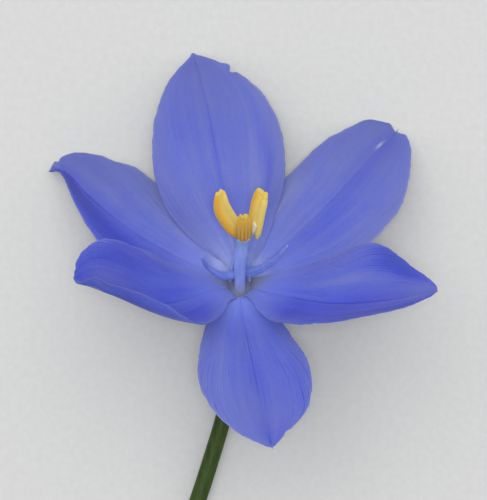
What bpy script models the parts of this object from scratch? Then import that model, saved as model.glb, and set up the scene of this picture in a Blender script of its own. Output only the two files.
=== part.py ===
"""Morning iris, one cut flower with its stem, lying face up on a flat surface.

Metres, +Z up, +Y from the cut end of the stem towards the top tepal. The origin is on the
surface, under the middle of the flower's box. Six tepals in two whorls, three stamens and a
three-armed style stand on an inferior ovary, whose stem bends down and lies on the surface.
Below, places are in millimetres from the throat, which is where the tepals meet.
"""

import math
from typing import NamedTuple

import bmesh
import bpy
from mathutils import Vector

MM = 0.001

AXIS_TILT = math.radians(42)  # from +Z towards +Y
THROAT_HEIGHT = 7.1  # above the surface

# The flower's axis, and the directions across it towards its rear and its right.
AXIS = Vector((0, math.sin(AXIS_TILT), math.cos(AXIS_TILT)))
REARWARD = Vector((0, AXIS.z, -AXIS.y))
RIGHTWARD = Vector((1, 0, 0))

TEPAL_THICKNESS = 0.26
INNER_HALF_WIDTH = 6.9
OUTER_HALF_WIDTH = 5.7
INNER_CLAW_RADIUS = 1.35
OUTER_CLAW_RADIUS = 1.7
CLAW_HEIGHTS = (0.25, 1.0)

# Half width along a tepal, as shares of its length and of its greatest half width.
TEPAL_OUTLINE = (
    (0.0, 0.11), (0.06, 0.18), (0.12, 0.36), (0.2, 0.58), (0.3, 0.77), (0.4, 0.9), (0.51, 0.99),
    (0.62, 0.99), (0.72, 0.91), (0.82, 0.75), (0.90, 0.54), (0.96, 0.32), (1.0, 0.05),
)
WING_COLUMNS = 3
WING_STEPS = 4  # per column
HEM_START = 0.66  # share of a wing's width where its hem begins


class Tepal(NamedTuple):
    """One tepal. Its azimuth is in degrees clockwise from the rear, seen from above the face.

    Left and right are as seen from the throat, looking out along the inner face. The other
    tuples hold evenly spaced values from claw to tip. Fold is how far a wing rises about the
    midrib, cup how far it bends on evenly and curl how far its hem turns over, in degrees.
    Width is a share.
    """

    azimuth: float
    inner: bool
    midrib: tuple
    left_fold: tuple
    right_fold: tuple
    left_cup: tuple = (0, 0)
    right_cup: tuple = (0, 0)
    left_curl: tuple = (0, 0)
    right_curl: tuple = (0, 0)
    left_width: tuple = (1, 1)
    right_width: tuple = (1, 1)


TEPALS = {
    "tepal_top": Tepal(
        0, True,
        ((-0.4, 4.6, 0.75), (-2.1, 12.0, -0.3), (-3.35, 18.6, -3.45), (-4.8, 23.8, -6.9)),
        left_fold=(4, 2, 4, 6, 8),
        right_fold=(9, 4, 4, 6, 8),
        left_width=(1, 0.98, 1.05, 1.03, 0.96, 0.9, 0.86, 0.83, 0.63),
        right_width=(1, 0.99, 1.0, 1.06, 1.01, 1.0, 0.96, 0.87, 0.88),
    ),
    "tepal_upper_right": Tepal(
        60, False,
        ((3.2, 3.2, 0.25), (8.7, 8.4, -0.7), (12.8, 12.8, -3.8), (16.4, 16.4, -6.7)),
        left_fold=(15, 15, 12, 10, 8),
        right_fold=(4, -6, 4, 6, 8),
        left_width=(1, 1, 1.05, 1.01, 0.9, 0.9, 0.96, 1.1, 1.6),
        right_width=(1, 1.1, 1.24, 1.32, 1.25, 1.15, 1.07, 1.03, 1.0),
    ),
    "tepal_upper_left": Tepal(
        -60, False,
        ((-4.0, 2.2, 0.25), (-10.2, 5.4, -0.8), (-15.3, 9.25, -3.8), (-18.0, 11.4, -5.3),
         (-19.4, 12.05, -5.8)),
        left_fold=(4, -4, 18, 38, 24),
        right_fold=(26, 16, 10, 8, 6),
        left_width=(1, 1, 0.97, 0.9, 0.83, 0.75, 0.68, 0.6, 0.6),
        right_width=(1, 1.05, 1.07, 1.05, 1.02, 1.03, 1.18, 1.29, 1.4),
    ),
    "tepal_right": Tepal(
        120, True,
        ((3.2, -0.4, 2.4), (9.0, -1.35, 6.4), (14.6, -0.9, 10.4), (18.95, 0.05, 12.8)),
        left_fold=(34, 26, 20, 20, 12, 10),
        right_fold=(16, 4, 10, 15, 18, 10),
        right_cup=(0, 5, 15, 8, 3, 0),
        left_width=(1, 0.7, 0.87, 1.01, 0.86, 0.68),
        right_width=(0.95, 0.85, 0.82, 0.71, 0.69, 0.65),
    ),
    "tepal_left": Tepal(
        -120, True,
        ((-3.3, -0.2, 2.4), (-7.42, -1.42, 6.4), (-11.81, -0.04, 10.8), (-15.44, 0.91, 14.4)),
        left_fold=(10, 8, 12, 16, 17, 15, 16, 22, 25),
        right_fold=(20, 20, 25, 25, 25, 10),
        left_curl=(0, 0, 0, 0, 5, 85, 130, 90, 10),
        left_width=(1, 0.9, 0.84, 0.83, 0.86, 0.9, 0.95, 1.08, 1.3),
        right_width=(1, 0.73, 0.82, 0.92, 0.86, 0.86, 0.96, 1.07, 1.2),
    ),
    "tepal_bottom": Tepal(
        180, False,
        ((0.3, -2.9, 3.0), (1.3, -7.4, 7.7), (2.3, -12.1, 11.5), (3.05, -14.85, 13.1)),
        left_fold=(5, 12, 8, 6, 6),
        right_fold=(5, 12, 10, 8, 8),
        left_width=(0.75, 0.88, 0.91, 0.86, 0.9, 0.96, 1.0, 1.08, 0.75),
        right_width=(0.75, 1.0, 1.06, 0.95, 0.98, 1.01, 1.01, 0.96, 0.72),
    ),
}


class Stamen(NamedTuple):
    azimuth: float
    filament: tuple
    anther: tuple


STAMENS = {
    "front": Stamen(
        180, ((0.0, 1.2, 3.0), (0.05, 2.8, 4.7)),
        ((0.35, 5.0, 6.8), (0.38, 6.1, 9.3), (0.4, 7.2, 11.8)),
    ),
    "right": Stamen(
        60, ((0.9, 2.2, 1.6), (0.65, 3.7, 3.3)),
        ((1.5, 5.5, 4.9), (1.65, 6.7, 6.2), (1.9, 8.18, 7.7), (2.27, 9.55, 9.2)),
    ),
    "left": Stamen(
        -60, ((-0.9, 2.2, 1.6), (-0.5, 3.7, 3.3)),
        ((-0.45, 5.57, 5.1), (-1.1, 6.64, 6.3), (-1.72, 7.98, 7.9), (-1.92, 9.6, 9.5)),
    ),
}
FILAMENT_BASE_RADIUS = 0.95
FILAMENT_HALF_WIDTHS = (0.5, 0.48, 0.46, 0.46, 0.5)
FILAMENT_FLATNESS = 0.55
ANTHER_HALF_WIDTHS = (0.2, 0.67, 0.8, 0.85, 0.86, 0.85, 0.8, 0.67, 0.2)
ANTHER_FLATNESS = 0.85
ANTHER_GROOVE = 0.1
ANTHER_GAP = 0.16

STYLE_RADIUS = 0.4
STYLE_HEIGHTS = (0.15, 1.5, 2.9)
STYLE_ARM_ROOT = 2.3
STYLE_ARMS = (
    ((0.0, 3.0, 2.0), (0.1, 5.0, 3.1), (0.1, 6.8, 4.7)),
    ((-1.9, 1.5, 3.0), (-3.2, 2.3, 5.0), (-3.75, 3.25, 6.9)),
    ((2.0, 2.0, 4.0), (3.6, 3.1, 6.6), (4.6, 4.3, 8.8)),
)
STYLE_ARM_RADII = (0.3, 0.28, 0.22, 0.12)

OVARY_LENGTH = 5.0
OVARY_RADII = (1.95, 1.7, 1.8, 1.75, 1.4, 0.95)
STEM_RADIUS = 0.85
STEM_RADII = (0.8, 0.82, STEM_RADIUS, STEM_RADIUS, STEM_RADIUS)
STEM_GAP = 0.15
STEM_BEND_POINTS = 6
STEM_TURN = math.radians(15)
# Where the middle of the stem lies on the surface, from its bend to its cut end.
STEM_ROUTE = (
    (-1.75, -13.4), (-3.0, -17.6), (-4.35, -21.8), (-5.9, -26.2), (-7.6, -30.8), (-9.4, -35.4),
)


def around(azimuth, radius, height):
    """A point by its azimuth from the rear, its radius and its height along the axis."""
    turn = math.radians(azimuth)
    outward = REARWARD * math.cos(turn) + RIGHTWARD * math.sin(turn)
    return outward * radius + AXIS * height


def through(values, share):
    """The value at share, 0 to 1, of the smooth curve through evenly spaced values."""
    spans = len(values) - 1
    i = min(int(share * spans), spans - 1)
    s = share * spans - i
    a, b = values[i], values[i + 1]
    before = values[i - 1] if i else a * 2 - b
    after = values[i + 2] if i + 2 <= spans else b * 2 - a
    return 0.5 * (
        2 * a + (b - before) * s
        + (2 * before - 5 * a + 4 * b - after) * s**2
        + (3 * a - before - 3 * b + after) * s**3
    )


def by_length(points, samples=200):
    """A function from share of length, 0 to 1, to a point on the smooth curve through points."""
    dense = [through(points, k / samples) for k in range(samples + 1)]
    run = [0.0]
    for a, b in zip(dense, dense[1:]):
        run.append(run[-1] + (b - a).length)

    def at(share):
        want = min(max(share, 0.0), 1.0) * run[-1]
        k = next((k for k in range(1, samples) if run[k] >= want), samples)
        return dense[k - 1].lerp(dense[k], (want - run[k - 1]) / (run[k] - run[k - 1]))

    return at


def heading(at, share, reach=0.01):
    """The direction of a curve from by_length at share of its length."""
    return (at(share + reach) - at(share - reach)).normalized()


def square_to(direction, along):
    return (direction - along * along.dot(direction)).normalized()


def wing_points(place, side, normal, width, fold, cup, curl):
    """Points across a wing that leaves the midrib at fold and bends on by cup and curl."""
    steps = WING_COLUMNS * WING_STEPS
    points = []
    for k in range(steps):
        share = (k + 0.5) / steps
        hem = max(0.0, share - HEM_START) / (1 - HEM_START)
        angle = math.radians(fold + cup * share + curl * hem)
        place = place + (side * math.cos(angle) + normal * math.sin(angle)) * width / steps
        if (k + 1) % WING_STEPS == 0:
            points.append(place)
    return points


def tepal_rows(tepal):
    """The control cage of a tepal, claw to tip, each row from its left margin to its right."""
    claw_radius = INNER_CLAW_RADIUS if tepal.inner else OUTER_CLAW_RADIUS
    half_width = INNER_HALF_WIDTH if tepal.inner else OUTER_HALF_WIDTH
    claw = [around(tepal.azimuth, claw_radius, height) for height in CLAW_HEIGHTS]
    at = by_length(claw + [Vector(point) for point in tepal.midrib])
    rightward = around(tepal.azimuth, 1, 0).cross(AXIS)
    rows = []
    for share, width in TEPAL_OUTLINE:
        along = heading(at, share)
        across = square_to(rightward, along)
        normal = across.cross(along)
        left, right = (
            wing_points(
                at(share), side, normal, half_width * width * through(widths, share),
                *(through(values, share) for values in bends),
            )
            for side, widths, *bends in (
                (-across, tepal.left_width, tepal.left_fold, tepal.left_cup, tepal.left_curl),
                (across, tepal.right_width, tepal.right_fold, tepal.right_cup, tepal.right_curl),
            )
        )
        rows.append([*reversed(left), at(share), *right])
    return rows


def material(name, colour, roughness):
    made = bpy.data.materials.new(name)
    made.use_nodes = True
    shader = made.node_tree.nodes["Principled BSDF"]
    shader.inputs["Base Color"].default_value = (*colour, 1)
    shader.inputs["Roughness"].default_value = roughness
    return made


def add_mesh(name, mesh, finish, flower):
    """An object under the flower's empty, from a bmesh in millimetres."""
    bmesh.ops.scale(mesh, vec=(MM, MM, MM), verts=mesh.verts)
    data = bpy.data.meshes.new(name)
    mesh.to_mesh(data)
    mesh.free()
    data.materials.append(finish)
    data.shade_smooth()
    made = bpy.data.objects.new(name, data)
    made.parent = flower
    bpy.context.collection.objects.link(made)
    return made


def sheet(name, rows, finish, flower):
    """A smooth wall of TEPAL_THICKNESS about the middle of a grid of points."""
    mesh = bmesh.new()
    grid = [[mesh.verts.new(point) for point in row] for row in rows]
    for low, high in zip(grid, grid[1:]):
        for k in range(len(low) - 1):
            mesh.faces.new((low[k], low[k + 1], high[k + 1], high[k]))
    made = add_mesh(name, mesh, finish, flower)
    smooth = made.modifiers.new("Smooth", "SUBSURF")
    smooth.levels = smooth.render_levels = 1
    wall = made.modifiers.new("Wall", "SOLIDIFY")
    wall.thickness = TEPAL_THICKNESS * MM
    wall.offset = 0
    return made


def rod(name, points, half_widths, finish, flower, *, facing, rings=12, sides=16,
        flatness=1, groove=0):
    """A solid along the smooth curve through points, and half as wide as half_widths says.

    half_widths holds evenly spaced values from start to end. A section is flattened towards
    facing, and groove is the depth of its four grooves as a share of its half width.
    """
    at = by_length(points)
    mesh = bmesh.new()
    loops = []
    for k in range(rings + 1):
        share = k / rings
        along = heading(at, share)
        up = square_to(facing, along)
        across = along.cross(up)
        ring = []
        for turn in (math.tau * j / sides for j in range(sides)):
            radius = through(half_widths, share) * (1 - groove * (1 + math.cos(4 * turn)) / 2)
            offset = across * math.cos(turn) + up * math.sin(turn) * flatness
            ring.append(mesh.verts.new(at(share) + offset * radius))
        loops.append(ring)
    for low, high in zip(loops, loops[1:]):
        for j in range(sides):
            mesh.faces.new((low[j - 1], low[j], high[j], high[j - 1]))
    mesh.faces.new(reversed(loops[0]))
    mesh.faces.new(loops[-1])
    bmesh.ops.recalc_face_normals(mesh, faces=mesh.faces)
    return add_mesh(name, mesh, finish, flower)


def add_tepals(flower):
    blue = material("tepal", (0.13, 0.16, 0.58), 0.5)
    for name, tepal in TEPALS.items():
        sheet(name, tepal_rows(tepal), blue, flower)


def add_stamens(flower):
    pale_blue = material("filament", (0.13, 0.17, 0.54), 0.5)
    yellow = material("anther", (0.6, 0.42, 0.1), 0.7)
    for name, stamen in STAMENS.items():
        outward = around(stamen.azimuth, 1, 0)
        anther = [Vector(point) for point in stamen.anther]
        start = (anther[1] - anther[0]).normalized()
        path = [
            around(stamen.azimuth, FILAMENT_BASE_RADIUS, 0.2),
            *(Vector(point) for point in stamen.filament),
            anther[0] - start * ANTHER_GAP,
        ]
        rod(f"filament_{name}", path, FILAMENT_HALF_WIDTHS, pale_blue, flower,
            sides=12, flatness=FILAMENT_FLATNESS, facing=outward)
        rod(f"anther_{name}", anther, ANTHER_HALF_WIDTHS, yellow, flower,
            flatness=ANTHER_FLATNESS, groove=ANTHER_GROOVE, facing=outward)


def add_style(flower):
    finish = material("style", (0.12, 0.16, 0.55), 0.5)
    column = [AXIS * height for height in STYLE_HEIGHTS]
    style = rod("style", column, (STYLE_RADIUS, STYLE_RADIUS), finish, flower,
                rings=4, facing=RIGHTWARD)
    for points in STYLE_ARMS:
        path = [AXIS * STYLE_ARM_ROOT, *(Vector(point) for point in points)]
        arm = rod("style_arm", path, STYLE_ARM_RADII, finish, flower, facing=AXIS, sides=10)
        arm.hide_render = True
        arm.display_type = "WIRE"
        join = style.modifiers.new("Arm", "BOOLEAN")
        join.operation = "UNION"
        join.object = arm


def add_ovary(flower):
    green = material("ovary", (0.06, 0.1, 0.03), 0.5)
    ends = [Vector(), -AXIS * OVARY_LENGTH]
    rod("ovary", ends, OVARY_RADII, green, flower, facing=RIGHTWARD)


def add_stem(flower):
    """The stem leaves the ovary along the axis, bends level and lies on the surface."""
    green = material("stem", (0.05, 0.08, 0.022), 0.55)
    place = -AXIS * (OVARY_LENGTH + STEM_GAP)
    lying = STEM_RADIUS - THROAT_HEIGHT
    slope = math.pi / 2 - AXIS_TILT
    step = (place.z - lying) / (1 - math.cos(slope)) * slope / STEM_BEND_POINTS
    route = [place]
    for k in range(STEM_BEND_POINTS):
        share = (k + 0.5) / STEM_BEND_POINTS
        steep, turn = slope * (1 - share), STEM_TURN * share
        place = place - step * Vector(
            (math.sin(turn) * math.cos(steep), math.cos(turn) * math.cos(steep), math.sin(steep))
        )
        route.append(place)
    route += [Vector((x, y, lying)) for x, y in STEM_ROUTE]
    rod("stem", route, STEM_RADII, green, flower, rings=48, facing=RIGHTWARD)


def centre_on_origin(flower):
    """Puts the middle of the flower's box over the origin, with the throat at its height."""
    bpy.context.view_layer.update()
    graph = bpy.context.evaluated_depsgraph_get()
    solids = [piece.evaluated_get(graph) for piece in flower.children if not piece.hide_render]
    corners = [solid.matrix_world @ Vector(corner) for solid in solids for corner in solid.bound_box]
    for i in (0, 1):
        reach = [corner[i] for corner in corners]
        flower.location[i] = -(min(reach) + max(reach)) / 2
    flower.location.z = THROAT_HEIGHT * MM


def main():
    for old in list(bpy.data.objects):
        bpy.data.objects.remove(old)
    flower = bpy.data.objects.new("flower", None)
    bpy.context.collection.objects.link(flower)
    add_tepals(flower)
    add_stamens(flower)
    add_style(flower)
    add_ovary(flower)
    add_stem(flower)
    centre_on_origin(flower)


main()
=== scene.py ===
"""The looks of a cut morning iris, lying face up on a pale surface, built around its CAD frame.

Metres, +Z up, +Y from the cut end of the stem towards the top tepal. The pieces are small, so
they are modelled in millimetres from the throat, which is where the tepals meet, and settle()
puts each one down at its real size.
"""

import math
from typing import NamedTuple

import bmesh
import bpy
import numpy as np
from mathutils import Matrix, Quaternion, Vector


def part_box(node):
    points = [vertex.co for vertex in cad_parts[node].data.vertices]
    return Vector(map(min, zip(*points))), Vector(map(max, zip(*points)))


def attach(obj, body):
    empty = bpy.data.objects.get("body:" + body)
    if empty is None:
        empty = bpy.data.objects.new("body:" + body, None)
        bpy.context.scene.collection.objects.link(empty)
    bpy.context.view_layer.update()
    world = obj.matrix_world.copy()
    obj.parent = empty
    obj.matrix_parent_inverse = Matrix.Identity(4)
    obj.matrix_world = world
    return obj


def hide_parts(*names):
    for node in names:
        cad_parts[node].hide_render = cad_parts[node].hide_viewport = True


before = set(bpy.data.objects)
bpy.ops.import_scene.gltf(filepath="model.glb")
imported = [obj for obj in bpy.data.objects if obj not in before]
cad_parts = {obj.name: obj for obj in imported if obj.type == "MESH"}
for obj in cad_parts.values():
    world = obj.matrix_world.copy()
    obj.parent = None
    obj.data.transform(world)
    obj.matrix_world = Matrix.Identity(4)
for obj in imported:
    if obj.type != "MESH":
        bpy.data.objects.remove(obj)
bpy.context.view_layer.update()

MM = 0.001

AXIS_TILT = math.radians(42)  # from +Z towards +Y
# The flower's axis, and the directions across it towards its rear and its right.
AXIS = Vector((0, math.sin(AXIS_TILT), math.cos(AXIS_TILT)))
REARWARD = Vector((0, AXIS.z, -AXIS.y))
RIGHTWARD = Vector((1, 0, 0))

OVARY_TOP_RADIUS = 1.95
OVARY_LENGTH = 5


def throat_place():
    """Where the throat is, in metres: the middle of the ovary's top, from its CAD box."""
    low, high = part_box("ovary")
    return Vector((
        (low.x + high.x) / 2,
        high.y - OVARY_TOP_RADIUS * REARWARD.y * MM,
        high.z + OVARY_TOP_RADIUS * REARWARD.z * MM,
    ))


THROAT = throat_place()
FLOOR_LEVEL = -THROAT.z / MM  # millimetres from the throat


# ---- Hand tools ----

LEAST_TURN = 1e-6  # radians


def only(piece):
    """Leaves one object selected and active."""
    bpy.ops.object.select_all(action="DESELECT")
    piece.select_set(True)
    bpy.context.view_layer.objects.active = piece


def edit():
    bpy.ops.object.mode_set(mode="EDIT")
    bpy.ops.mesh.select_mode(type="VERT")


def leave():
    bpy.ops.object.mode_set(mode="OBJECT")


def pick(piece, wanted):
    """Selects the vertices whose numbers are in wanted, with their edges and faces."""
    mesh = bmesh.from_edit_mesh(piece.data)
    for vertex in mesh.verts:
        vertex.select = vertex.index in wanted
    mesh.select_flush_mode()


def pick_faces(piece, wanted):
    """Selects the faces that wanted says yes to."""
    mesh = bmesh.from_edit_mesh(piece.data)
    for face in mesh.faces:
        face.select = wanted(face)
    mesh.select_flush(True)
    bpy.ops.mesh.select_mode(type="FACE")


def slide(step):
    bpy.ops.transform.translate(value=step)


def swell(factors, pivot):
    bpy.ops.transform.resize(value=factors, center_override=pivot)


def turn(rotation, pivot):
    """Turns what is selected about a point. The operator turns against the usual direction."""
    for axis, angle in zip("XYZ", rotation.to_euler("XYZ")):
        if abs(angle) > LEAST_TURN:
            bpy.ops.transform.rotate(value=-angle, orient_axis=axis, center_override=pivot)


def finish_with(piece, name, kind, **settings):
    """Adds a modifier and applies it."""
    made = piece.modifiers.new(name, kind)
    for setting, value in settings.items():
        setattr(made, setting, value)
    only(piece)
    bpy.ops.object.modifier_apply(modifier=made.name)


def coat(piece, *finishes):
    """Gives a piece its materials, in order."""
    for finish in finishes:
        piece.data.materials.append(finish)


def smooth(piece, angle):
    """Shades a piece smooth except where its faces meet at more than angle, in degrees."""
    only(piece)
    bpy.ops.object.shade_smooth_by_angle(angle=math.radians(angle))


def settle(piece, name, nodes):
    """Puts a piece down at its real size and place, and says what it stands for."""
    only(piece)
    piece.name = piece.data.name = name
    piece.scale = (MM, MM, MM)
    piece.location = THROAT
    bpy.ops.object.transform_apply(location=True, rotation=True, scale=True)
    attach(piece, "root")
    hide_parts(*nodes)


# ---- Curves and directions ----

def around(azimuth, radius, height):
    """A point by its azimuth from the rear, its radius and its height along the axis."""
    angle = math.radians(azimuth)
    outward = REARWARD * math.cos(angle) + RIGHTWARD * math.sin(angle)
    return outward * radius + AXIS * height


def through(values, share):
    """The value at share, 0 to 1, of the smooth curve through evenly spaced values."""
    spans = len(values) - 1
    i = min(int(share * spans), spans - 1)
    s = share * spans - i
    a, b = values[i], values[i + 1]
    before = values[i - 1] if i else a * 2 - b
    after = values[i + 2] if i + 2 <= spans else b * 2 - a
    return 0.5 * (
        2 * a + (b - before) * s
        + (2 * before - 5 * a + 4 * b - after) * s**2
        + (3 * a - before - 3 * b + after) * s**3
    )


def by_length(points, samples=200):
    """A function from share of length, 0 to 1, to a point on the smooth curve through points."""
    dense = [through(points, k / samples) for k in range(samples + 1)]
    run = [0.0]
    for a, b in zip(dense, dense[1:]):
        run.append(run[-1] + (b - a).length)

    def at(share):
        want = min(max(share, 0.0), 1.0) * run[-1]
        k = next((k for k in range(1, samples) if run[k] >= want), samples)
        return dense[k - 1].lerp(dense[k], (want - run[k - 1]) / (run[k] - run[k - 1]))

    at.length = run[-1]
    return at


def heading(at, share, reach=0.01):
    """The direction of a curve from by_length at share of its length."""
    return (at(share + reach) - at(share - reach)).normalized()


def square_to(direction, along):
    return (direction - along * along.dot(direction)).normalized()


def standing(across, along, up):
    """The rotation that takes +X to across, +Y to along and +Z to up."""
    return Matrix((across, along, up)).transposed().to_quaternion()


# ---- Tepals ----

INNER_HALF_WIDTH = 6.9
OUTER_HALF_WIDTH = 5.7
INNER_CLAW_RADIUS = 1.3
OUTER_CLAW_RADIUS = 1.65
CLAW_HEIGHTS = (0.1, 0.95)

# Half width along a tepal, as shares of its length and of its greatest half width.
TEPAL_OUTLINE = (
    (0, 0.17), (0.03, 0.18), (0.07, 0.23), (0.12, 0.36), (0.18, 0.53), (0.25, 0.68),
    (0.33, 0.815), (0.41, 0.91), (0.49, 0.98), (0.57, 1), (0.65, 0.975), (0.73, 0.9),
    (0.8, 0.785), (0.86, 0.65), (0.915, 0.49), (0.96, 0.31), (1, 0.045),
)
# Where a wing's columns are, as shares of its width from the midrib.
WING = (0.06, 0.3, 0.52, 0.72, 0.86, 1)
HEM = 3  # curl bends a wing only beyond this many columns
MIDRIB_DEPTH = 0.13
LEAST_BEND = 1e-4  # radians
TEPAL_THICKNESS = 0.2
MARGIN_THINNING = 0.55  # the share of its thickness that a tepal loses by its margin
MARGIN_FROM = 0.75  # where the uneven margin starts, across
SMOOTH_CLAW = 1 / 6  # the margin grows uneven over this share of the length
SPINE_BEND = Vector((0.05, 0, 0.1))  # in shares of its length
SPINE_GIRTHS = (0.08, 0.07, 0.045, 0.012)
# The size of the margin's unevenness, and how far it moves the margin.
MARGIN_WAVES = (("waves", 1.6, 0.2), ("nicks", 0.35, 0.08))


class Shade(NamedTuple):
    """A soft patch on a tepal's map. Its tone is how much paler (or below 0, deeper) the blue
    gets, partly the tepal's own colour and partly painted light and painted shade, or how
    strongly the throat's colour, the white or a painted glint shows."""

    across: float
    along: float
    wide: float
    long: float
    tone: float


class Pull(NamedTuple):
    """Draws the skin softly out by step, within reach of a place on the tepal's map."""

    across: float
    along: float
    step: tuple
    reach: float


class Tepal(NamedTuple):
    """One tepal. Its azimuth is in degrees clockwise from the rear, seen from above the face.

    Left and right are as seen from the throat, looking out along the inner face. The other
    tuples hold evenly spaced values from claw to tip. Fold is how far a wing rises about the
    midrib, cup how far it bends on evenly and curl how far its hem turns over, in degrees.
    Width is a share. The spine is the fine point at the tip, by its direction and length.
    Throat says where the throat's colour runs out onto the tepal, and glints are painted
    highlights, small white streaks on a ridge. Veined is how strongly the veins show.
    """

    azimuth: float
    inner: bool
    midrib: tuple
    left_fold: tuple
    right_fold: tuple
    left_cup: tuple = (0, 0)
    right_cup: tuple = (0, 0)
    left_curl: tuple = (0, 0)
    right_curl: tuple = (0, 0)
    left_width: tuple = (1, 1)
    right_width: tuple = (1, 1)
    spine: tuple = ()
    tone: float = 0.5
    veined: float = 0.7
    shades: tuple = ()
    pulls: tuple = ()
    throat: tuple = (Shade(0, 0, 2, 0.05, 1),)
    glints: tuple = ()


# Each tepal's tone and shades set how pale its blue is. Part is its own paler and deeper places.
# Part is painted light where other tepals and the stamens shade it, painted shade where it turns
# from the light and in the midrib creases, and a painted highlight on the raised midrib of the
# upper right tepal.
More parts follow.
